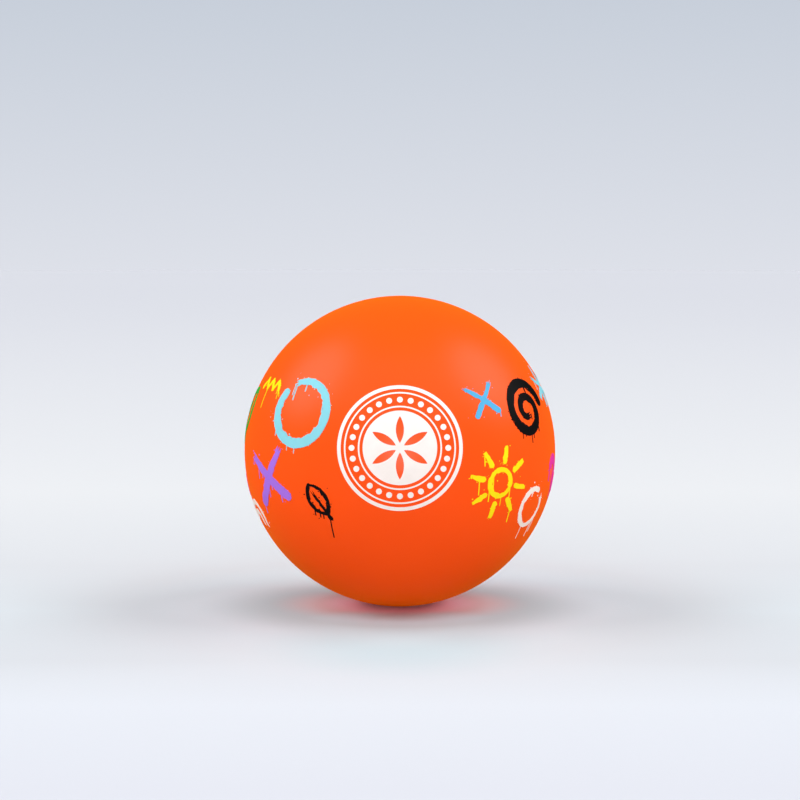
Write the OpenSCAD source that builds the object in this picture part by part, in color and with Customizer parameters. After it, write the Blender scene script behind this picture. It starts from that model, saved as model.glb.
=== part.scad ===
// Field hockey ball: a cork and twine core inside a moulded cover of two halves,
// with a printed emblem on the front and back and a band of brushed paint marks.
// Millimetres, +Z up, origin at the centre of the ball, front towards -Y.

/* [Ball] */
// Outside diameter of the cover
ball_d = 73; // [71.3:0.1:74.8]

/* [Cover] */
// Wall of both cover halves
cover_t = 5; // [4.2:0.1:5.5]
// Height of the lip that locates one half in the other at the seam
lip_h = 2; // [1:0.1:3]
// Thickness of that lip
lip_t = 1.6; // [1:0.1:2.4]
// Gap between the lip and its groove
lip_gap = 0.05; // [0.02:0.01:0.2]

/* [Core] */
// Diameter of the cork centre
centre_d = 28; // [22:0.5:29]
// Depth of the twine wound on the cork centre
inner_winding_t = 4; // [3:0.1:4.5]
// Thickness of the inner cork strips
inner_strip_t = 2.5; // [2:0.1:3]
// Number of inner cork strips
inner_strips = 4; // [3:1:6]
// Depth of the twine wound on the inner cork strips
middle_winding_t = 4; // [3:0.1:4.5]
// Thickness of the outer cork strips
outer_strip_t = 2.5; // [2:0.1:3]
// Number of outer cork strips
outer_strips = 6; // [3:1:8]
// Gap between neighbouring cork strips
strip_gap = 1; // [0.5:0.1:2]
// Glue line between one layer of the ball and the next
bond_t = 0.05; // [0.02:0.01:0.1]

/* [Emblem] */
// Outside diameter of the emblem
emblem_d = 27.4; // [26:0.2:31]
// Width of its outer ring
emblem_ring_w = 0.8; // [0.4:0.1:1]
// Width of its two thin rings
emblem_line_w = 0.35; // [0.2:0.05:0.5]
// Bare band between neighbouring figures of the emblem
emblem_gap = 0.7; // [0.4:0.1:0.8]
// Diameter of the beads between the thin rings
bead_d = 1.3; // [0.8:0.1:1.5]
// Number of beads
beads = 28; // [16:4:32]
// Number of petals left bare in the middle disc
petals = 6; // [5:1:8]
// White hub in the middle of the disc, as the radius where the petals start
hub_r = 1; // [0.6:0.1:2]
// White rim between the petals' tips and the disc's edge
petal_rim = 1.2; // [0.6:0.1:2]

/* [Prints] */
// Thickness of the ink films
ink_t = 0.08; // [0.05:0.01:0.12]
// Turn of all prints about the X axis, in degrees, which lifts the front emblem above the seam
print_turn = 8; // [0:1:20]

/* [Painted marks] */
// Height of the large marks
large_mark = 16.5; // [13:0.5:17]
// Brush width of the large marks
large_brush = 2.3; // [1.6:0.1:2.6]
// Height of the small marks
small_mark = 10; // [8:0.5:10.5]
// Brush width of the small marks
small_brush = 1.3; // [0.8:0.1:1.5]
// Unevenness of a stroke's rough edge, three times that of its other edge
edge_wobble = 0.2; // [0:0.02:0.26]
// Spacing of the points along a stroke's edges
edge_step = 0.8; // [0.6:0.1:1.6]
// Length of the dry end of a stroke
dry_end = 1.6; // [0.4:0.1:2]
// Number of rays of a sun
rays = 8; // [6:1:10]
// Bare band between the emblem and the first column of marks
mark_margin = 1.3; // [0.8:0.1:2]

/* [Hidden] */
$fn = 128;

ball_r = ball_d / 2;
core_r = ball_r - cover_t;

// Outer radius of each layer of the core, from the cork centre out.
centre_r = centre_d / 2;
inner_winding_r = centre_r + inner_winding_t;
inner_strip_r = inner_winding_r + inner_strip_t;
middle_winding_r = inner_strip_r + middle_winding_t;
outer_strip_r = middle_winding_r + outer_strip_t;

// The lip stands in the middle of the cover's wall.
lip_r = (core_r + ball_r - lip_t) / 2;

// Radii of the emblem's figures, from the outside in.
emblem_r = emblem_d / 2;
outer_line_r = emblem_r - emblem_ring_w - emblem_gap;
bead_ring_r = outer_line_r - emblem_line_w - emblem_gap - bead_d / 2;
inner_line_r = bead_ring_r - bead_d / 2 - emblem_gap;
disc_r = inner_line_r - emblem_line_w - emblem_gap;
petal_l = disc_r - petal_rim - hub_r;

// How far a print's outline reaches below and above the ball's surface before it is trimmed to it.
print_depth = ball_r / 3;
print_reach = 1;

INKS = ["black", "white", "yellow", "sky_blue", "aqua", "violet", "green", "pink"];
INK_COLOURS = ["#161616", "#fbf7f0", "#fdee1c", "#55b2e8", "#7fdcef", "#a978f5", "#3fae3c", "#ea3fae"];

// Painted marks of one side, high and low by turns: column, latitude, turn, size, shape, ink.
MARKS = [
    [0.85, 17, 15, "small", "cross", "sky_blue"],
    [1.15, -12, -8, "large", "sun", "yellow"],
    [1.85, 14, 20, "large", "spiral", "black"],
    [2.15, -21, -30, "small", "ring", "white"],
    [2.85, 24, 10, "small", "star", "aqua"],
    [3.15, -10, -25, "large", "wave", "pink"],
    [3.85, 13, -35, "large", "leaf", "green"],
    [4.15, -22, -15, "small", "arches", "white"],
    [4.85, 24, -10, "small", "zigzag", "yellow"],
    [5.1, -10, 8, "large", "cross", "violet"],
    [5.85, 13, 40, "large", "ring", "aqua"],
    [6.2, -19, 30, "small", "leaf", "black"],
];

// The columns of marks share the band between one emblem and the next.
mark_columns = max([for (m = MARKS) floor(m[0])]);
first_azimuth = asin((emblem_r + mark_margin) / ball_r);
column_pitch = (180 - 2 * first_azimuth) / mark_columns;

function strip_names(layer, count) = [for (i = [1:count]) str(layer, "_cork_strip_", i)];

// Core

module shell(r_in, r_out) {
    difference() {
        sphere(r = r_out);
        sphere(r = r_in);
    }
}

module cork_centre() {
    color("tan") sphere(r = centre_r);
}

module winding(r_in, r_out) {
    color("wheat") shell(r_in + bond_t, r_out);
}

// One of the cork strips of a layer: an upright slice of its shell, half a gap short of its neighbours.
module cork_strip(r_in, r_out, count, i) {
    half = 180 / count;
    apex = strip_gap / 2 / sin(half);
    reach = 2 * r_out;
    color("burlywood")
        rotate([0, 0, i * 360 / count])
            intersection() {
                shell(r_in + bond_t, r_out);
                translate([apex, 0, -reach])
                    linear_extrude(2 * reach)
                        polygon([[0, 0], reach * [cos(half), -sin(half)], [reach, 0],
                                 reach * [cos(half), sin(half)]]);
            }
}

module inner_cork_strip(i) {
    cork_strip(inner_winding_r, inner_strip_r, inner_strips, i);
}

// The outer strips lie across the inner ones.
module outer_cork_strip(i) {
    rotate([0, 90, 0]) cork_strip(middle_winding_r, outer_strip_r, outer_strips, i);
}

// Cover

// Half section of the cover's wall, above the seam.
module wall_section() {
    intersection() {
        difference() {
            circle(r = ball_r);
            circle(r = core_r + bond_t);
        }
        square(ball_d);
    }
}

// Half section of the lip, or of its groove when grown by the gap.
module lip_section(gap) {
    translate([lip_r - gap, -lip_h - gap])
        square([lip_t + 2 * gap, lip_h + gap]);
}

module upper_cover() {
    color("orangered")
        rotate_extrude() {
            wall_section();
            lip_section(0);
        }
}

module lower_cover() {
    color("orangered")
        rotate_extrude()
            difference() {
                mirror([0, 1]) wall_section();
                lip_section(lip_gap);
            }
}

// Prints

// Lays a flat drawing on the ball as an ink film, facing outwards at an azimuth and a latitude.
module printed(azimuth, latitude) {
    rotate([-print_turn, 0, 0])
        rotate([0, 0, azimuth])
            rotate([-latitude, 0, 0])
                intersection() {
                    shell(ball_r, ball_r + ink_t);
                    rotate([90, 0, 0])
                        translate([0, 0, ball_r - print_depth])
                            linear_extrude(print_depth + print_reach)
                                children();
                }
}

module flat_ring(r_out, w) {
    difference() {
        circle(r = r_out);
        circle(r = r_out - w);
    }
}

// A pointed petal from the origin along +X, where two equal circles cross. Its tips are a little wider
// than its share of the full turn.
module petal(length) {
    half_tip = 1.1 * 180 / petals;
    r = length / 2 / sin(half_tip);
    intersection() {
        translate([length / 2, r * cos(half_tip)]) circle(r = r);
        translate([length / 2, -r * cos(half_tip)]) circle(r = r);
    }
}

module emblem_drawing() {
    flat_ring(emblem_r, emblem_ring_w);
    flat_ring(outer_line_r, emblem_line_w);
    for (i = [0:beads - 1])
        rotate(i * 360 / beads)
            translate([bead_ring_r, 0])
                circle(d = bead_d);
    flat_ring(inner_line_r, emblem_line_w);
    difference() {
        circle(r = disc_r);
        for (i = [0:petals - 1])
            rotate(90 + i * 360 / petals)
                translate([hub_r, 0])
                    petal(petal_l);
    }
}

module emblem(azimuth) {
    color("#fbf7f0") printed(azimuth, 0) emblem_drawing();
}

// Brush strokes

function unit(v) = v / norm(v);
function left_of(v) = [-v.y, v.x];

// Share of the brush width along a stroke, which thins towards its end.
function taper(t) = 1 - 0.35 * t * t;

// Outline of a brush stroke along a path: a round start, uneven edges and an end that is flat, or dry
// and split into tines.
function brushed(path, w, seed, dry) =
    let (
        last = len(path) - 1,
        rough = rands(-edge_wobble, edge_wobble, last + 1, seed),
        even = rands(-edge_wobble, edge_wobble, last + 1, seed + 2) / 3,
        along = [for (i = [0:last]) unit(path[min(i + 1, last)] - path[max(i - 1, 0)])],
        half = [for (i = [0:last]) w / 2 * taper(i / last)],
        left = [for (i = [0:last]) path[i] + (half[i] + rough[i]) * left_of(along[i])],
        right = [for (i = [0:last]) path[i] - (half[i] + even[i]) * left_of(along[i])],
        tips = rands(0.4, 1, 3, seed + 1),
        tines = [for (k = [0:4]) let (p = left[last] + (right[last] - left[last]) * (k + 0.5) / 5)
            k % 2 == 0 ? p + along[last] * dry_end * tips[k / 2] : p],
        start = [for (a = [-150:30:-30]) path[0] + w / 2 * (cos(a) * left_of(along[0]) + sin(a) * along[0])]
    )
    concat(left, dry ? tines : [], [for (i = [last:-1:0]) right[i]], start);

module stroke(path, w, seed, dry = true) {
    polygon(brushed(path, w, seed, dry));
}

// Number of steps along a stroke of this length.
function steps_along(length) = max(4, ceil(length / edge_step));

function line(from, to) =
    let (steps = steps_along(norm(to - from)))
    [for (i = [0:steps]) from + (to - from) * i / steps];

function arc(r, a_from, a_to) =
    let (steps = steps_along(r * abs(a_to - a_from) * PI / 180))
    [for (i = [0:steps]) let (a = a_from + (a_to - a_from) * i / steps) r * [cos(a), sin(a)]];

// Straight strokes from corner to corner, of which only the last has a dry end.
module bars(corners, w, seed) {
    for (i = [1:len(corners) - 1])
        stroke(line(corners[i - 1], corners[i]), w, seed + 10 * i, i == len(corners) - 1);
}

// A ring left open by the length that the round start and the dry end take, and half as much again.
module ring_mark(h, w, seed) {
    r = (h - w) / 2;
    open = 1.5 * (w / 2 + dry_end) / r * 180 / PI;
    stroke(arc(r, 100, 460 - open), w, seed);
}

// A closed ring with rays round it, all of a finer brush.
module sun_mark(h, w, seed) {
    fine = 0.55 * w;
    r = 0.18 * h;
    ray_foot = r + 1.5 * fine;
    for (i = [0:1])
        rotate(180 * i)
            stroke(arc(r, 0, 180), fine, seed + 10 * i, false);
    for (i = [1:rays])
        rotate(i * 360 / rays)
            stroke(line([ray_foot, 0], [h / 2, 0]), fine, seed + 20 + 10 * i, false);
}

// A leaf of a finer brush: an arc on each side from tip to tip, and a thin rib that comes out below them
// as the stalk.
module leaf_mark(h, w, seed) {
    half_tip = 60;
    fine = 0.7 * w;
    stalk = 1.5 * fine;
    blade = h - fine - stalk;
    r = blade / 2 / sin(half_tip);
    translate([0, stalk / 2])
        for (i = [0:1])
            rotate(180 * i)
                translate([-r * cos(half_tip), 0])
                    stroke(arc(r, -half_tip, half_tip), fine, seed + 10 * i, false);
    stroke(line([0, (fine - h) / 2], [0, stalk / 2 + blade / 8]), 0.8 * fine, seed + 20);
}

// Bars that cross in the middle.
module crossed_mark(count, h, w, seed) {
    r = (h - w) / 2;
    for (i = [0:count - 1])
        let (a = 90 / count + i * 180 / count, end = r * [cos(a), sin(a)])
            bars([-end, end], w, seed + 10 * i);
}

// A spiral that winds in at a pitch of about one and a half brush widths.
module spiral_mark(h, w, seed) {
    r_out = (h - w) / 2;
    r_in = 0.6 * w;
    turns = (r_out - r_in) / (1.45 * w);
    steps = steps_along(PI * (r_out + r_in) * turns);
    stroke([for (i = [0:steps]) (r_out + (r_in - r_out) * i / steps)
        * [cos(360 * turns * i / steps), sin(360 * turns * i / steps)]], w, seed);
}

// Half rings in a row, by turns above and below the middle line.
module wave_mark(h, w, seed) {
    r = (h - w) / 6;
    steps = steps_along(PI * r);
    stroke([for (k = [0:2], i = [(k == 0 ? 0 : 1):steps]) let (a = 180 - 180 * i / steps)
        [(2 * k - 2) * r + r * cos(a), (k % 2 == 0 ? r : -r) * sin(a)]], w, seed);
}

// A row of low peaks, of a finer brush.
module zigzag_mark(h, w, seed) {
    peaks = 3;
    fine = 0.7 * w;
    reach = h - fine;
    corners = [for (i = [0:2 * peaks]) [(i / peaks - 1) * reach / 2, (i % 2 == 0 ? -1 : 1) * reach / 8]];
    bars(corners, fine, seed);
}

// Two arches, one inside the other.
module arches_mark(h, w, seed) {
    for (i = [0:1])
        translate([0, -h / 4])
            stroke(arc((h - w) / 2 - 1.8 * w * i, 175, 5), w, seed + 10 * i);
}

module drawing(shape, h, w, seed) {
    if (shape == "ring") ring_mark(h, w, seed);
    if (shape == "sun") sun_mark(h, w, seed);
    if (shape == "leaf") leaf_mark(h, w, seed);
    if (shape == "cross") crossed_mark(2, h, w, seed);
    if (shape == "star") crossed_mark(3, h, w, seed);
    if (shape == "spiral") spiral_mark(h, w, seed);
    if (shape == "wave") wave_mark(h, w, seed);
    if (shape == "zigzag") zigzag_mark(h, w, seed);
    if (shape == "arches") arches_mark(h, w, seed);
}

// Every mark of one ink, on both sides of the ball.
module marks(k) {
    color(INK_COLOURS[k])
        for (side = [0, 180], i = [0:len(MARKS) - 1])
            let (m = MARKS[i], size = m[3] == "large" ? [large_mark, large_brush] : [small_mark, small_brush])
                if (m[5] == INKS[k])
                    printed(first_azimuth + (m[0] - 0.5) * column_pitch + side, m[1])
                        rotate(m[2])
                            drawing(m[4], size[0], size[1], 100 * i);
}

cork_centre();
winding(centre_r, inner_winding_r);  // inner_winding
for (i = [1:inner_strips])
    inner_cork_strip(i);
winding(inner_strip_r, middle_winding_r);  // middle_winding
for (i = [1:outer_strips])
    outer_cork_strip(i);
winding(outer_strip_r, core_r);  // outer_winding
upper_cover();
lower_cover();
emblem(0);  // front_emblem
emblem(180);  // back_emblem
for (k = [0:len(INKS) - 1])
    marks(k);
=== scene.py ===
"""A field hockey ball on a pale studio floor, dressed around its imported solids."""

import math

import bpy
import bmesh
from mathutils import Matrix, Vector


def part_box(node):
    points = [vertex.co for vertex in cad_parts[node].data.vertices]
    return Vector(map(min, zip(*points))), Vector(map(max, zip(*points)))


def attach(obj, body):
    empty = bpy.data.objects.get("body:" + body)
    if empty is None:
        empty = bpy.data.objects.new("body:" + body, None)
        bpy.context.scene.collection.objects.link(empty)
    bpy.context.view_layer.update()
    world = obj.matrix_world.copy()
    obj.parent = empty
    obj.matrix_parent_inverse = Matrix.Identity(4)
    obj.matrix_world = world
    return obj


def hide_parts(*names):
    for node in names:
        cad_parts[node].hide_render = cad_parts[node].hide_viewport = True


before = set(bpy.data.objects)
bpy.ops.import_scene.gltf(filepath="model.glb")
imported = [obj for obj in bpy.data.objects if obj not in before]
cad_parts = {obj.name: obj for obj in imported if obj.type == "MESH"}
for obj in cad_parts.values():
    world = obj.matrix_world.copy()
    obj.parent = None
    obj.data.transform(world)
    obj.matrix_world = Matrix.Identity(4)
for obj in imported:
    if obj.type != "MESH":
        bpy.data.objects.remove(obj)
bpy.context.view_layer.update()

MM = 0.001

# Sizes read from the solids.
ball_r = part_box("upper_cover")[1].z
floor_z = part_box("lower_cover")[0].z

# Colours as they are written on the surfaces, in linear light.
VINYL_ORANGE = (0.985, 0.085, 0.0015, 1)
VINYL_DEEP = (0.965, 0.079, 0.001, 1)
VINYL_BLOOM = (1.0, 0.55, 0.0, 1)
CORK_PALE = (0.46, 0.27, 0.13, 1)
CORK_DARK = (0.20, 0.095, 0.04, 1)
TWINE_PALE = (0.66, 0.56, 0.40, 1)
TWINE_SHADE = (0.42, 0.33, 0.21, 1)
INKS = {
    "black": (0.004, 0.0035, 0.0035, 1),
    "white": (0.94, 0.91, 0.865, 1),
    "yellow": (0.97, 0.83, 0.012, 1),
    "sky_blue": (0.10, 0.45, 0.78, 1),
    "aqua": (0.25, 0.67, 0.79, 1),
    "violet": (0.385, 0.18, 0.86, 1),
    "green": (0.05, 0.41, 0.045, 1),
    "pink": (0.80, 0.05, 0.39, 1),
}
EMBLEM_WHITE = (0.94, 0.935, 0.925, 1)


class Wire:
    """A socket of a node tree. Sums and products of wires and numbers add Math nodes to the tree."""

    def __init__(self, tree, socket=None):
        self.tree = tree
        self.socket = socket

    def node(self, kind, sockets=None, out=0, **settings):
        """Adds a node. Its settings are set first, then the values or links of its sockets."""
        made = self.tree.nodes.new(kind)
        for number, (spot, colour) in enumerate(settings.pop("stops", {}).items()):
            stops = made.color_ramp.elements
            stop = stops[number] if number < len(stops) else stops.new(spot)
            stop.position = spot
            stop.color = colour
        for name, value in settings.items():
            setattr(made, name, value)
        for key, value in (sockets or {}).items():
            for one in value if isinstance(value, list) else [value]:
                if isinstance(one, Wire):
                    self.tree.links.new(one.socket, made.inputs[key])
                else:
                    made.inputs[key].default_value = one
        return Wire(self.tree, made.outputs[out] if made.outputs else None)

    def math(self, operation, *values, clamp=False):
        """Adds a Math node on wires and numbers."""
        return self.node("ShaderNodeMath", dict(enumerate(values)), operation=operation, use_clamp=clamp)

    def __add__(self, other):
        return self.math("ADD", self, other)

    def __sub__(self, other):
        return self.math("SUBTRACT", self, other)

    def __rsub__(self, other):
        return self.math("SUBTRACT", other, self)

    def __mul__(self, other):
        return self.math("MULTIPLY", self, other)

    def __truediv__(self, other):
        return self.math("DIVIDE", self, other)

    def __rtruediv__(self, other):
        return self.math("DIVIDE", other, self)

    __radd__ = __add__
    __rmul__ = __mul__

    def clamped(self):
        """The same value, kept between 0 and 1."""
        return self.math("ADD", self, 0, clamp=True)


# Materials

def blank(name):
    """A new material with an empty node tree, and that tree to build on."""
    made = bpy.data.materials.new(name)
    made.use_nodes = True
    made.node_tree.nodes.clear()
    return made, Wire(made.node_tree)


def place(tree):
    """Where a point of the surface lies, in metres from the centre of the ball."""
    return tree.node("ShaderNodeTexCoord", out="Object")


def cloud(point, per_metre, detail):
    """Soft noise with about this many clouds to the metre, from 0 to 1."""
    return point.node("ShaderNodeTexNoise", {"Vector": point, "Scale": per_metre, "Detail": detail})


def tint(factor, low, high):
    """A colour between two others."""
    return factor.node("ShaderNodeMix", {0: factor, 6: low, 7: high}, out=2, data_type="RGBA")


def dents(height, depth):
    """A surface normal with dents of this depth in metres."""
    return height.node("ShaderNodeBump", {"Height": height, "Strength": 1, "Distance": depth})


def finish(tree, sockets):
    """The one surface of a material."""
    surface = tree.node("ShaderNodeBsdfPrincipled", sockets)
    tree.node("ShaderNodeOutputMaterial", {"Surface": surface})


# Vinyl: how many clouds of each kind it has to the metre, how rough it is at its smoothest and what
# the clouds add, the grain's share in its dents, how deep those are, and its satin.
VINYL_SWIRLS = 55
VINYL_RIPPLES = 320
VINYL_GRAINS = 2600
VINYL_ROUGHNESS = 0.40
GRAIN_ROUGHNESS = 0.08
SWIRL_ROUGHNESS = 0.04
GRAIN_SHARE = 0.5
VINYL_DENT = 0.006 * MM
VINYL_SATIN = {
    "Specular IOR Level": 0.0,
    "Coat Weight": 0.048,
    "Coat Roughness": 0.36,
    "Coat IOR": 4.0,
    "Sheen Weight": 0.15,
    "Sheen Roughness": 0.5,
    "Sheen Tint": VINYL_BLOOM,
}


def orange_vinyl():
    """Pigmented vinyl with the fine, even grain of a vapour-blasted mould."""
    made, tree = blank("orange_vinyl")
    point = place(tree)
    swirl = cloud(point, VINYL_SWIRLS, detail=4)
    grain = cloud(point, VINYL_GRAINS, detail=2)
    ripple = cloud(point, VINYL_RIPPLES, detail=1)
    finish(tree, {
        "Base Color": tint(swirl, VINYL_DEEP, VINYL_ORANGE),
        "Roughness": VINYL_ROUGHNESS + GRAIN_ROUGHNESS * grain + SWIRL_ROUGHNESS * swirl,
        "Normal": dents(GRAIN_SHARE * grain + ripple, VINYL_DENT),
        **VINYL_SATIN,
    })
    return made


# Ink: the same for its uneven load and its pores, with how sharp the edge of a pinhole is, and the tone
# of thin ink as a share of the full one.
INK_LOADS = 420
INK_PORES = 1900
PINHOLE_SHARPNESS = 14
THIN_INK = 0.9
INK_ROUGHNESS = 0.36
INK_PORE_ROUGHNESS = 0.16
INK_PORE_SHARE = 0.4
INK_DENT = 0.012 * MM
INK_SATIN = {
    "Specular IOR Level": 0.0,
    "Coat Weight": 0.012,
    "Coat Roughness": 0.42,
    "Coat IOR": 4.0,
}


def print_ink(name, colour, wear):
    """Ink on the vinyl, uneven in tone, with pinholes where the vinyl shows through."""
    made, tree = blank(name)
    point = place(tree)
    load = cloud(point, INK_LOADS, detail=3)
    pores = cloud(point, INK_PORES, detail=2)
    pinholes = ((pores - (1 - wear)) * PINHOLE_SHARPNESS).clamped()
    thin = (*(THIN_INK * channel for channel in colour[:3]), 1)
    finish(tree, {
        "Base Color": tint(pinholes, tint(load, thin, colour), VINYL_ORANGE),
        "Roughness": INK_ROUGHNESS + INK_PORE_ROUGHNESS * pores,
        "Normal": dents(load + INK_PORE_SHARE * pores, INK_DENT),
        **INK_SATIN,
    })
    return made


# Cork: the same for its cells, bark and pores. Pores open above a level of their clouds, and are smoother
# and deeper than the rest.
CORK_CELLS = 520
CORK_BARK = 130
CORK_PORES = 300
CORK_PORE_LEVEL = 0.60
CORK_PORE_SHARPNESS = 9
CORK_ROUGHNESS = 0.86
CORK_PORE_SMOOTHNESS = 0.10
CORK_PORE_SHARE = 1.5
CORK_DENT = 0.15 * MM


def cut_cork():
    """Natural cork: pale cells, dark pores and a crumbly cut face."""
    made, tree = blank("cut_cork")
    point = place(tree)
    cells = point.node("ShaderNodeTexVoronoi", {"Vector": point, "Scale": CORK_CELLS})
    bark = cloud(point, CORK_BARK, detail=5)
    pores = ((cloud(point, CORK_PORES, detail=3) - CORK_PORE_LEVEL) * CORK_PORE_SHARPNESS).clamped()
    finish(tree, {
        "Base Color": tint(pores, tint(bark, CORK_PALE, CORK_DARK), CORK_DARK),
        "Roughness": CORK_ROUGHNESS - CORK_PORE_SMOOTHNESS * pores,
        "Normal": dents(cells + bark - CORK_PORE_SHARE * pores, CORK_DENT),
    })
    return made


# Twine: the length of one turn of its strands, and the same for its fuzz and for the strands' shading.
TWINE_LAY = 2.4 * MM
TWINE_FUZZ = 1500
LAY_SHADE = 0.7
FUZZ_SHADE = 0.5
TWINE_ROUGHNESS = 0.80
FUZZ_ROUGHNESS = 0.12
FUZZ_SHARE = 0.5
TWINE_DENT = 0.12 * MM


def wound_twine():
    """Undyed twine, whose strands show as bands along its length."""
    made, tree = blank("wound_twine")
    point = place(tree)
    along = tree.node("ShaderNodeAttribute", attribute_name="along", out="Fac")
    lay = (1 + tree.math("SINE", along * (math.tau / TWINE_LAY))) / 2
    fuzz = cloud(point, TWINE_FUZZ, detail=4)
    finish(tree, {
        "Base Color": tint((LAY_SHADE * lay + FUZZ_SHADE * fuzz).clamped(), TWINE_SHADE, TWINE_PALE),
        "Roughness": TWINE_ROUGHNESS + FUZZ_ROUGHNESS * fuzz,
        "Normal": dents(lay + FUZZ_SHARE * fuzz, TWINE_DENT),
    })
    return made


# Geometry Nodes

def recipe(name, inputs):
    """An empty Geometry Nodes tree with named inputs, a wire to start from, and one from each input."""
    tree = bpy.data.node_groups.new(name, "GeometryNodeTree")
    tree.interface.new_socket("Geometry", in_out="OUTPUT", socket_type="NodeSocketGeometry")
    for label, kind in {"Geometry": "Geometry", **inputs}.items():
        tree.interface.new_socket(label, in_out="INPUT", socket_type="NodeSocket" + kind)
    given = tree.nodes.new("NodeGroupInput")
    return tree, Wire(tree), {socket.name: Wire(tree, socket) for socket in given.outputs if socket.name}


def dot(first, second):
    """How far two directions agree, from 1 to -1."""
    return first.node("ShaderNodeVectorMath", {0: first, 1: second}, out="Value", operation="DOT_PRODUCT")


def scaled(direction, factor):
    """A vector made longer or shorter."""
    return direction.node("ShaderNodeVectorMath", {0: direction, "Scale": factor}, operation="SCALE")


def from_centre(start):
    """The direction of each point from the centre of the ball."""
    spot = start.node("GeometryNodeInputPosition")
    return start.node("ShaderNodeVectorMath", {0: spot}, operation="NORMALIZE")


def draw(start, seed):
    """A random number from 0 to 1 for each point."""
    return start.node("FunctionNodeRandomValue", {2: 0.0, 3: 1.0, "Seed": seed}, out=1, data_type="FLOAT")


def noted(geometry, name, value):
    """The geometry with a value of each of its points stored under a name."""
    return geometry.node("GeometryNodeStoreNamedAttribute",
                         {"Geometry": geometry, "Name": name, "Value": value},
                         data_type="FLOAT", domain="POINT")


def tube(line, sides, radius):
    """A closed tube along a line."""
    section = line.node("GeometryNodeCurvePrimitiveCircle", {"Resolution": sides, "Radius": radius})
    return line.node("GeometryNodeCurveToMesh",
                     {"Curve": line, "Profile Curve": section, "Fill Caps": True})


def serve(geometry, material):
    """Ends a tree: instances made real, and the material set."""
    real = geometry.node("GeometryNodeRealizeInstances", {"Geometry": geometry})
    painted = real.node("GeometryNodeSetMaterial", {"Geometry": real, "Material": material})
    painted.node("NodeGroupOutput", {"Geometry": painted})


def grown(name, tree, mesh, sizes, stands_for=()):
    """A piece that a tree grows from a mesh, made a plain mesh that rides on the ball."""
    piece = bpy.data.objects.new(name, mesh)
    bpy.context.scene.collection.objects.link(piece)
    growth = piece.modifiers.new("growth", "NODES")
    growth.node_group = tree
    for item in tree.interface.items_tree:
        if item.in_out == "INPUT" and item.name in sizes:
            growth[item.identifier] = sizes[item.name]
    scene_state = bpy.context.evaluated_depsgraph_get()
    plain = bpy.data.meshes.new_from_object(piece.evaluated_get(scene_state))
    piece.modifiers.remove(growth)
    piece.data = plain
    plain.name = name
    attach(piece, "root")
    if stands_for:
        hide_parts(*stands_for)


# Twine windings, and what each is wound on. Depths are in diameters of the twine.
TWINE_D = 1.5 * MM
TWINE_SIDES = 6
TURN_POINTS = 44
WANDER_LOOPS = 3.3
FIRST_TURN_DEPTH = 1.35
TURNS_CLIMB = 0.8
CORE_DEPTH = 1.5
CORE_SUBDIVISIONS = 5
GLUE_T = 0.05 * MM
WOUND_ON = {"inner": "cork_centre", "middle": "inner_cork_strip_1", "outer": "outer_cork_strip_1"}


def winding_tree(material):
    """One unbroken strand that goes round and round, its plane wandering over the ball, on a plain core."""
    tree, start, size = recipe("twine_winding", {"Outside": "Float", "Inside": "Float",
                                                 "Twine": "Float", "Turns": "Int"})
    line = start.node("GeometryNodeCurvePrimitiveLine")
    strand = start.node("GeometryNodeResampleCurve",
                        {"Curve": line, "Count": size["Turns"] * TURN_POINTS})
    share = start.node("GeometryNodeSplineParameter", out="Factor")

    # Later turns lie on earlier ones, so the strand climbs from the core to the outside.
    radius = size["Outside"] - size["Twine"] * (FIRST_TURN_DEPTH - TURNS_CLIMB * share)
    on_circle = start.node("ShaderNodeCombineXYZ", {"X": radius})
    turn = share * size["Turns"] * math.tau
    tilt = start.math("ARCCOSINE", 1 - share)
    wander = share * (math.tau * WANDER_LOOPS)
    for axis, angle in (("Z_AXIS", turn), ("X_AXIS", tilt), ("Z_AXIS", wander)):
        on_circle = start.node("ShaderNodeVectorRotate", {"Vector": on_circle, "Angle": angle},
                               rotation_type=axis)
    strand = start.node("GeometryNodeSetPosition", {"Geometry": strand, "Position": on_circle})
    strand = noted(strand, "along", start.node("GeometryNodeSplineParameter", out="Length"))
    twine = tube(strand, TWINE_SIDES, size["Twine"] / 2)

    core = start.node("GeometryNodeMeshIcoSphere",
                      {"Radius": size["Outside"] - CORE_DEPTH * size["Twine"],
                       "Subdivisions": CORE_SUBDIVISIONS})
    hollow = start.node("GeometryNodeMeshIcoSphere",
                        {"Radius": size["Inside"], "Subdivisions": CORE_SUBDIVISIONS})
    hollow = start.node("GeometryNodeFlipFaces", {"Mesh": hollow})
    whole = start.node("GeometryNodeJoinGeometry", {"Geometry": [twine, core, hollow]})
    smooth = start.node("GeometryNodeSetShadeSmooth", {"Geometry": whole})
    serve(smooth, material)
    return tree


def wind_core(material):
    """The three windings."""
    tree = winding_tree(material)
    for layer, inner in WOUND_ON.items():
        solid = layer + "_winding"
        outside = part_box(solid)[1].z
        inside = max(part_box(inner)[1]) + GLUE_T
        turns = round(WANDER_LOOPS * math.pi * outside / TWINE_D)
        grown(layer + "_twine", tree, bpy.data.meshes.new(solid),
              {"Outside": outside, "Inside": inside, "Twine": TWINE_D, "Turns": turns},
              [solid])


# Paint specks and runs

# A wall of an ink film agrees less than this with the direction outwards, and a lower one more with down.
INK_T = 0.08 * MM
EDGE_SLANT = 0.5
DOWN = (0, 0, -1)
DROP_SUBDIVISIONS = 1

# Specks: how many there are to a millimetre of edge, their size, how far they fly, how high and flat
# they lie, and their least scale and what chance adds to it.
SPECKS_PER_MM = 1.5
SPECK_D = 0.30 * MM
SPECK_SPREAD = 2.6 * MM
SPECK_LIFT = 0.01 * MM
SPECK_FLATNESS = 0.3
SPECK_LEAST = 0.4
SPECK_GAIN = 1.1

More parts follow.
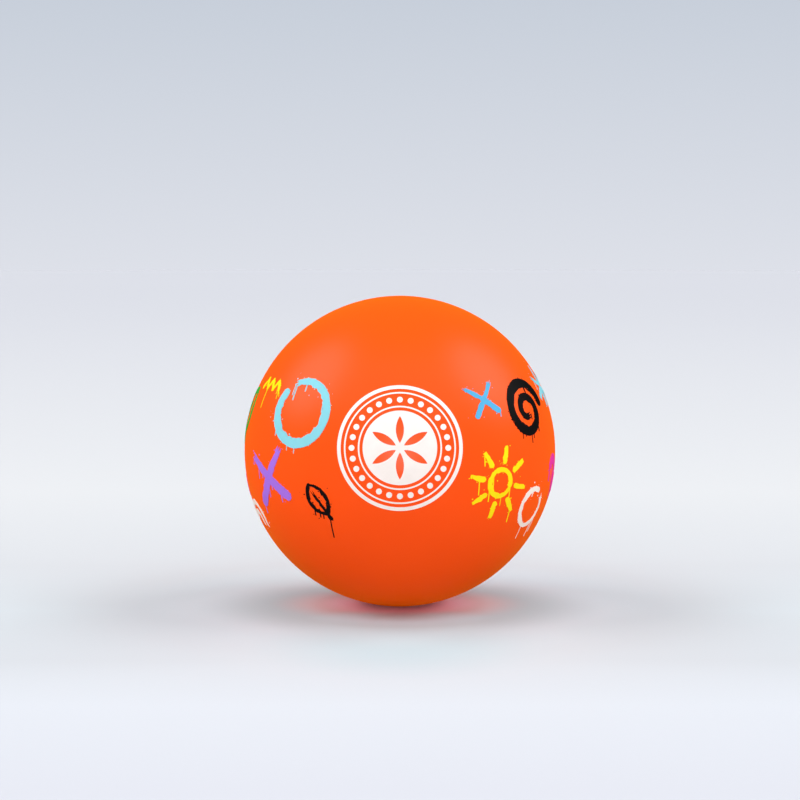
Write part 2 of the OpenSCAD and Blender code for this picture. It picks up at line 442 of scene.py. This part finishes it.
# Runs: the same, with the radius of the trail as a share of the width of the bead at its end.
RUNS_PER_MM = 0.22
RUN_W = 0.38 * MM
RUN_L = 4.5 * MM
RUN_FLATNESS = 0.35
RUN_POINTS = 5
RUN_SIDES = 6
TRAIL_SHARE = 0.4
RUN_NARROWEST = 0.7
RUN_WIDTH_GAIN = 0.5
RUN_SHORTEST = 0.2
RUN_LENGTH_GAIN = 0.8

# Each ink draws from seeds of its own, and its runs from later ones than its specks.
INK_SEEDS = 10
RUN_SEED = 5


def edge_points(start, size, outward, lower):
    """Points on the thin walls of an ink film, or only on those that face down."""
    normal = start.node("GeometryNodeInputNormal")
    slant = start.math("ABSOLUTE", dot(normal, outward))
    chosen = start.math("LESS_THAN", slant, EDGE_SLANT)
    if lower:
        chosen = chosen * start.math("GREATER_THAN", dot(normal, DOWN), EDGE_SLANT)
    return start.node("GeometryNodeDistributePointsOnFaces",
                      {"Mesh": size["Geometry"], "Selection": chosen,
                       "Density": size["Density"], "Seed": size["Seed"]})


def speck_tree(material):
    """Specks that a loaded brush throws off along the edges of its strokes, most of them close by."""
    tree, start, size = recipe("paint_specks", {"Ball": "Float", "Speck": "Float", "Spread": "Float",
                                                "Density": "Float", "Seed": "Int"})
    outward = from_centre(start)
    points = edge_points(start, size, outward, lower=False)
    throw = start.node("FunctionNodeRandomValue",
                       {0: (-1, -1, -1), 1: (1, 1, 1), "Seed": size["Seed"] + 1},
                       data_type="FLOAT_VECTOR")
    reach = draw(start, size["Seed"] + 3)
    throw = scaled(throw, size["Spread"] * reach * reach * reach * reach)
    landed = start.node("GeometryNodeSetPosition", {"Geometry": points, "Offset": throw})
    on_ball = scaled(outward, size["Ball"])
    landed = start.node("GeometryNodeSetPosition", {"Geometry": landed, "Position": on_ball})

    drop = start.node("GeometryNodeMeshIcoSphere",
                      {"Radius": size["Speck"] / 2, "Subdivisions": DROP_SUBDIVISIONS})
    drop = start.node("GeometryNodeTransform", {"Geometry": drop, "Scale": (1, 1, SPECK_FLATNESS)})
    facing = start.node("FunctionNodeAlignRotationToVector", {"Vector": outward}, axis="Z")
    bulk = draw(start, size["Seed"] + 2)
    specks = start.node("GeometryNodeInstanceOnPoints",
                        {"Points": landed, "Instance": drop, "Rotation": facing,
                         "Scale": SPECK_LEAST + SPECK_GAIN * bulk * bulk * bulk})
    serve(specks, material)
    return tree


def run_tree(material):
    """Runs of wet paint that start at the lower edges of the strokes, each with a bead at its end."""
    tree, start, size = recipe("paint_runs", {"Ball": "Float", "Width": "Float", "Length": "Float",
                                              "Density": "Float", "Seed": "Int"})
    outward = from_centre(start)
    points = edge_points(start, size, outward, lower=True)

    # One run, laid flat, which keeps its height above the vinyl.
    top = start.node("ShaderNodeCombineXYZ", {"Y": -1 * size["Width"]})
    tip = start.node("ShaderNodeCombineXYZ", {"Y": size["Length"]})
    line = start.node("GeometryNodeCurvePrimitiveLine", {"Start": top, "End": tip})
    line = start.node("GeometryNodeResampleCurve", {"Curve": line, "Count": RUN_POINTS})
    trail = tube(line, RUN_SIDES, size["Width"] * TRAIL_SHARE)
    bead = start.node("GeometryNodeMeshIcoSphere",
                      {"Radius": size["Width"] / 2, "Subdivisions": DROP_SUBDIVISIONS})
    bead = start.node("GeometryNodeTransform", {"Geometry": bead, "Translation": tip})
    run = start.node("GeometryNodeJoinGeometry", {"Geometry": [trail, bead]})
    run = start.node("GeometryNodeTransform", {"Geometry": run, "Scale": (1, 1, RUN_FLATNESS)})
    spot = start.node("GeometryNodeInputPosition")
    run = noted(run, "film", start.node("ShaderNodeSeparateXYZ", {0: spot}, out="Z"))

    # All the runs, hung down the ball and bent to it.
    upright = start.node("FunctionNodeAlignRotationToVector", {"Vector": outward}, axis="Z")
    facing = start.node("FunctionNodeAlignRotationToVector", {"Rotation": upright, "Vector": DOWN},
                        axis="Y", pivot_axis="Z")
    stretch = draw(start, size["Seed"] + 1)
    width = RUN_NARROWEST + RUN_WIDTH_GAIN * draw(start, size["Seed"] + 2)
    length = RUN_SHORTEST + RUN_LENGTH_GAIN * stretch * stretch
    scale = start.node("ShaderNodeCombineXYZ", {"X": width, "Y": length, "Z": 1.0})
    runs = start.node("GeometryNodeInstanceOnPoints",
                      {"Points": points, "Instance": run, "Rotation": facing, "Scale": scale})
    runs = start.node("GeometryNodeRealizeInstances", {"Geometry": runs})
    film = start.node("GeometryNodeInputNamedAttribute", {"Name": "film"}, data_type="FLOAT")
    on_ball = scaled(outward, size["Ball"] + film)
    runs = start.node("GeometryNodeSetPosition", {"Geometry": runs, "Position": on_ball})
    smooth = start.node("GeometryNodeSetShadeSmooth", {"Geometry": runs})
    serve(smooth, material)
    return tree


def spill_paint(ink, material, seed):
    """The specks and runs of one ink, grown from its strokes."""
    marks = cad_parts[ink + "_marks"].data
    per_mm = 1 / MM / INK_T
    grown(ink + "_specks", speck_tree(material), marks.copy(),
          {"Ball": ball_r + SPECK_LIFT, "Speck": SPECK_D, "Spread": SPECK_SPREAD,
           "Density": SPECKS_PER_MM * per_mm, "Seed": seed})
    grown(ink + "_runs", run_tree(material), marks.copy(),
          {"Ball": ball_r, "Width": RUN_W, "Length": RUN_L,
           "Density": RUNS_PER_MM * per_mm, "Seed": seed + RUN_SEED})


# The ball

EMBLEM_WEAR = 0.22
PAINT_WEAR = 0.27


def paint(node, material):
    """Gives a solid its finish."""
    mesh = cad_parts[node].data
    mesh.materials.clear()
    mesh.materials.append(material)


def dress_ball():
    """The finish of every solid, and the pieces that the scene adds to them."""
    vinyl = orange_vinyl()
    paint("upper_cover", vinyl)
    paint("lower_cover", vinyl)
    emblem = print_ink("emblem_white_print", EMBLEM_WHITE, EMBLEM_WEAR)
    paint("front_emblem", emblem)
    paint("back_emblem", emblem)
    for number, (ink, colour) in enumerate(INKS.items()):
        material = print_ink(ink + "_brushed_paint", colour, PAINT_WEAR)
        paint(ink + "_marks", material)
        spill_paint(ink, material, INK_SEEDS * number)
    cork = cut_cork()
    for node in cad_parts:
        if "cork" in node:
            paint(node, cork)
    wind_core(wound_twine())


# Stage

FLOOR_R = 3.0
FLOOR_SIDES = 128

# Painted light and shade on the paper, as tones by how high up the picture they lie, from its near edge at 0
# to the horizon at 1; darker bands lie a little in front of and behind the ball.
PAINTED_FLOOR_LIGHT = {
    0.00: (0.61, 0.63, 0.69, 1),
    0.15: (0.63, 0.663, 0.717, 1),
    0.23: (0.587, 0.622, 0.664, 1),
    0.32: (0.64, 0.70, 0.745, 1),
    0.40: (0.59, 0.615, 0.65, 1),
    0.53: (0.645, 0.66, 0.685, 1),
    0.90: (0.545, 0.56, 0.61, 1),
}
PAPER_NEAR = -0.147
EYE_DISTANCE = 0.44
NEAR_RISE = -0.5
HORIZON_RISE = 1.0

# Far from the ball the paper is of one tone: where the change to it starts and ends.
PAPER_FAR = (0.545, 0.56, 0.61, 1)
FAR_OFF = (0.5, 2.4)

# The ball's painted shadow on the paper: round spots of darker and lighter tones near it, with how far in
# front of it each is, how much wider it is than deep, where it starts, where it is full, and its tone.
PAINTED_SHADOW_SPOTS = (
    (0.000, 1.3, 0.075, 0.040, (0.65, 0.75, 0.81, 1)),
    (0.040, 1.0, 0.038, 0.008, (0.49, 0.60, 0.645, 1)),
    (0.004, 1.5, 0.050, 0.028, (0.48, 0.60, 0.645, 1)),
)
# The same for the spots under the ball, which paint the red glow of its bounce light on the paper and lighten
# its shadow where it touches.
PAINTED_GLOW_SPOTS = (
    (0.000, 1.5, 0.032, 0.016, (0.67, 0.535, 0.56, 1)),
    (0.016, 2.0, 0.022, 0.008, (0.60, 0.80, 0.89, 1)),
    (0.000, 1.3, 0.020, 0.010, (0.99, 0.80, 0.95, 1)),
)

# The share of its tone that the paper throws back at the ball, but for the spots under it.
PAPER_BOUNCE = (0.76, 0.52, 0.42)

# The backdrop's tones, and the heights of view between which one turns into the other. The dome is its light.
BACKDROP_LOW = (0.73, 0.752, 0.815, 1)
BACKDROP_TOP = (0.57, 0.62, 0.70, 1)
BACKDROP_RISE = (-0.03, 0.12)
DOME_WHITE = (1, 1, 1, 1)
DOME_LIGHT = 0.30


def seen_directly(tree):
    """1 for what the camera, a reflection or a pane of glass shows, 0 for light on its way."""
    seen = tree.node("ShaderNodeLightPath", out="Is Camera Ray")
    for ray in ("Is Glossy Ray", "Is Transmission Ray"):
        seen = tree.math("MAXIMUM", seen, tree.node("ShaderNodeLightPath", out=ray))
    return seen


def shaded(tone, point, forward, flatness, start, full, other):
    """The tone with a round spot of another one on it."""
    stretched = point.node("ShaderNodeVectorMath", {0: point, 1: (1, flatness, 1)}, operation="MULTIPLY")
    middle = (0, -forward * flatness, floor_z)
    away = point.node("ShaderNodeVectorMath", {0: stretched, 1: middle}, out="Value", operation="DISTANCE")
    change = point.node("ShaderNodeMapRange", {0: away, 1: start, 2: full}, interpolation_type="SMOOTHSTEP")
    return tint(change, tone, other)


def studio_paper():
    """Pale paper with painted light and shade: its tone changes with its distance from the camera, and spots
    near the ball paint its shadow and glow.
    """
    made, tree = blank("studio_paper")
    point = place(tree)
    along = tree.node("ShaderNodeSeparateXYZ", {0: point}, out="Y")
    along = tree.math("MAXIMUM", along, PAPER_NEAR)
    rise = along / (along + EYE_DISTANCE)
    climb = (rise - NEAR_RISE) / (HORIZON_RISE - NEAR_RISE)
    # The painted light and shade of the paper, by height in the picture.
    tone = tree.node("ShaderNodeValToRGB", {0: climb}, stops=PAINTED_FLOOR_LIGHT)
    tone = shaded(tone, point, 0, 1, *FAR_OFF, PAPER_FAR)
    # Paint the ball's shadow on the paper.
    for spot in PAINTED_SHADOW_SPOTS:
        tone = shaded(tone, point, *spot)
    dimmed = tree.node("ShaderNodeVectorMath", {0: tone, 1: PAPER_BOUNCE}, operation="MULTIPLY")
    tone = tint(seen_directly(tree), dimmed, tone)
    # Paint the ball's red glow on the paper and lighten its shadow under it.
    for spot in PAINTED_GLOW_SPOTS:
        tone = shaded(tone, point, *spot)
    paper = tree.node("ShaderNodeBsdfDiffuse", {"Color": tone})
    tree.node("ShaderNodeOutputMaterial", {"Surface": paper})
    return made


def lay_floor():
    """A wide, round sheet of paper, level with the bottom of the ball."""
    paper = bmesh.new()
    bmesh.ops.create_circle(paper, cap_ends=True, segments=FLOOR_SIDES, radius=FLOOR_R)
    bmesh.ops.translate(paper, verts=paper.verts, vec=(0, 0, floor_z))
    mesh = bpy.data.meshes.new("studio_floor")
    paper.to_mesh(mesh)
    paper.free()
    mesh.materials.append(studio_paper())
    floor = bpy.data.objects.new("studio_floor", mesh)
    bpy.context.scene.collection.objects.link(floor)


def hang_backdrop():
    """The world: a pale backdrop that darkens upwards, and an even, soft light."""
    world = bpy.data.worlds.new("studio")
    world.use_nodes = True
    world.node_tree.nodes.clear()
    tree = Wire(world.node_tree)
    toward = tree.node("ShaderNodeTexCoord", out="Generated")
    height = tree.node("ShaderNodeSeparateXYZ", {0: toward}, out="Z")
    low, top = BACKDROP_RISE
    rise = tree.node("ShaderNodeMapRange", {0: height, 1: low, 2: top})
    wall = tree.node("ShaderNodeBackground",
                     {"Color": tint(rise, BACKDROP_LOW, BACKDROP_TOP), "Strength": 1})
    light = tree.node("ShaderNodeBackground", {"Color": DOME_WHITE, "Strength": DOME_LIGHT})
    both = tree.node("ShaderNodeMixShader", {0: seen_directly(tree), 1: light, 2: wall})
    tree.node("ShaderNodeOutputWorld", {"Surface": both})
    bpy.context.scene.world = world


# Lights: far softboxes, given by their direction, how wide they look in degrees, and their strength.
SOFTBOXES = {
    "left_box": ((-0.76, 0.08, 0.645), 44, 1.91),
    "right_box": ((0.76, 0.08, 0.645), 44, 1.99),
    "front_fill": ((0.0, -0.72, 0.69), 80, 0.95),
    "low_fill": ((0.0, -0.995, 0.06), 16, 1.35),
}


def light_studio():
    """The softboxes."""
    for name, (toward, width, strength) in SOFTBOXES.items():
        lamp = bpy.data.lights.new(name, "SUN")
        lamp.angle = math.radians(width)
        lamp.energy = strength
        box = bpy.data.objects.new(name, lamp)
        box.rotation_euler = Vector(toward).to_track_quat("Z", "Y").to_euler()
        bpy.context.scene.collection.objects.link(box)


# Camera: the photograph is taken to be 800 pixels square, and the ball is placed in it by its outline.
FRAME_PX = 800
BALL_X_PX = 399.9
BALL_Y_PX = 450.7
BALL_D_PX = 310.6
LENS_MM = 85
SENSOR_MM = 36
CAMERA_RISE = math.radians(7)


def set_camera():
    """A camera that shows the ball at its place and size in the picture."""
    focal_px = LENS_MM / SENSOR_MM * FRAME_PX
    distance = ball_r / math.sin(math.atan(BALL_D_PX / 2 / focal_px))
    data = bpy.data.cameras.new("camera")
    data.lens = LENS_MM
    data.sensor_width = SENSOR_MM
    camera = bpy.data.objects.new("camera", data)
    camera.location = distance * Vector((0, -math.cos(CAMERA_RISE), math.sin(CAMERA_RISE)))
    tilt_up = math.atan((BALL_Y_PX - FRAME_PX / 2) / focal_px)
    turn = math.atan((BALL_X_PX - FRAME_PX / 2) / focal_px)
    camera.rotation_euler = (math.pi / 2 - CAMERA_RISE + tilt_up, 0, turn)
    bpy.context.scene.collection.objects.link(camera)
    bpy.context.scene.camera = camera


dress_ball()
lay_floor()
hang_backdrop()
light_studio()
set_camera()
bpy.context.scene.view_settings.view_transform = "Standard"
